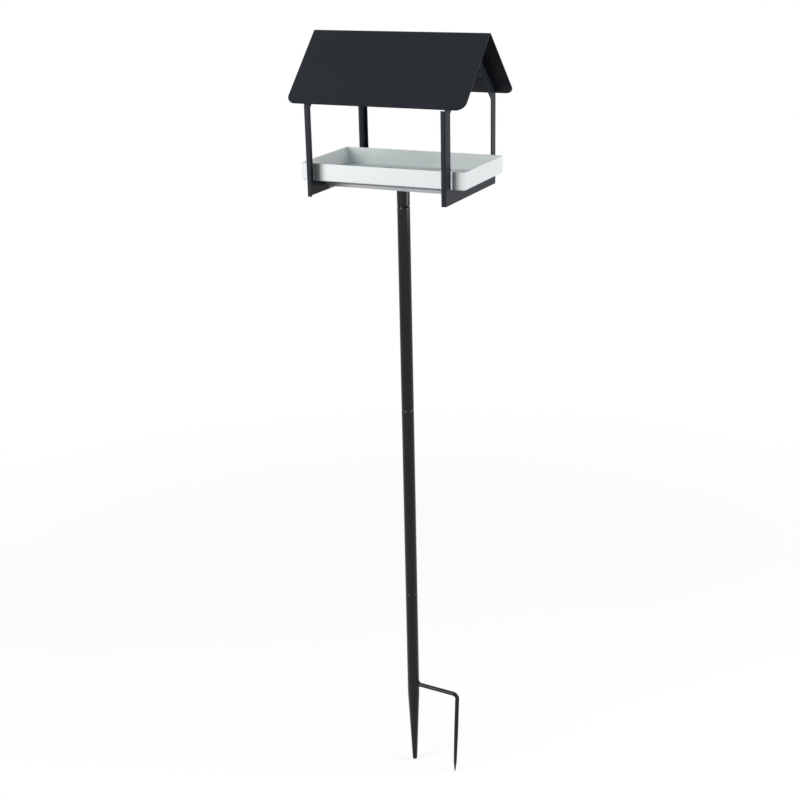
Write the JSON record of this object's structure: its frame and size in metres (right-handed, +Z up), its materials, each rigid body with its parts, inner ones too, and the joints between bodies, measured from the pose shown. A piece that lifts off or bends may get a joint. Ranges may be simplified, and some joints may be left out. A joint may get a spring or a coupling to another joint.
{
  "type": "bird table",
  "caption": "Garden bird table: folded pitched roof on open end frames over a slide-out feed tray, on a plug-together pole with a ground spike and a foot step.",
  "frame": {"origin": "on the pole's axis at the soil line, level with the underside of the step where its arm bends down", "axes": "+Z up the pole, +X along the roof's ridge towards the step, +Y to the back"},
  "size_m": [0.36, 0.244, 1.589],
  "materials": {
    "house_coat": "satin anthracite powder coat",
    "pole_coat": "satin black powder coat",
    "tray_coat": "satin white powder coat",
    "base_coat": "satin pale grey powder coat",
    "zinc_fastener": "zinc plated"
  },
  "bodies": {
    "stake": {"ground_spike": "pole_coat", "step_bar": "pole_coat", "step_weld": "pole_coat"},
    "lower_tube": {"lower_pole": "pole_coat"},
    "upper_tube": {"upper_pole": "pole_coat"},
    "house": {"socket_tube": "pole_coat", "socket_weld": "pole_coat", "socket_plate": "pole_coat", "socket_studs": "zinc_fastener", "socket_washers": "zinc_fastener", "socket_nuts": "zinc_fastener", "base_channel": "base_coat", "left_end_frame": "house_coat", "right_end_frame": "house_coat", "frame_studs": "zinc_fastener", "frame_washers": "zinc_fastener", "frame_nuts": "zinc_fastener", "roof_sheet": "house_coat", "roof_studs": "zinc_fastener", "roof_washers": "zinc_fastener", "roof_nuts": "zinc_fastener"},
    "tray": {"feed_tray": "tray_coat"}
  },
  "joints": [
    {"name": "lower_plug", "type": "slide", "parent": "stake", "child": "lower_tube", "axis": [0, 0, 1], "range_m": [0, 0.04]},
    {"name": "upper_plug", "type": "slide", "parent": "lower_tube", "child": "upper_tube", "axis": [0, 0, 1], "range_m": [0, 0.04]},
    {"name": "house_swivel", "type": "hinge", "parent": "upper_tube", "child": "house", "pos_m": [0, 0, 1.0715], "axis": [0, 0, 1], "continuous": true},
    {"name": "tray_slide", "type": "slide", "parent": "house", "child": "tray", "axis": [1, 0, 0], "range_m": [-0.32, 0.32]}
  ]
}
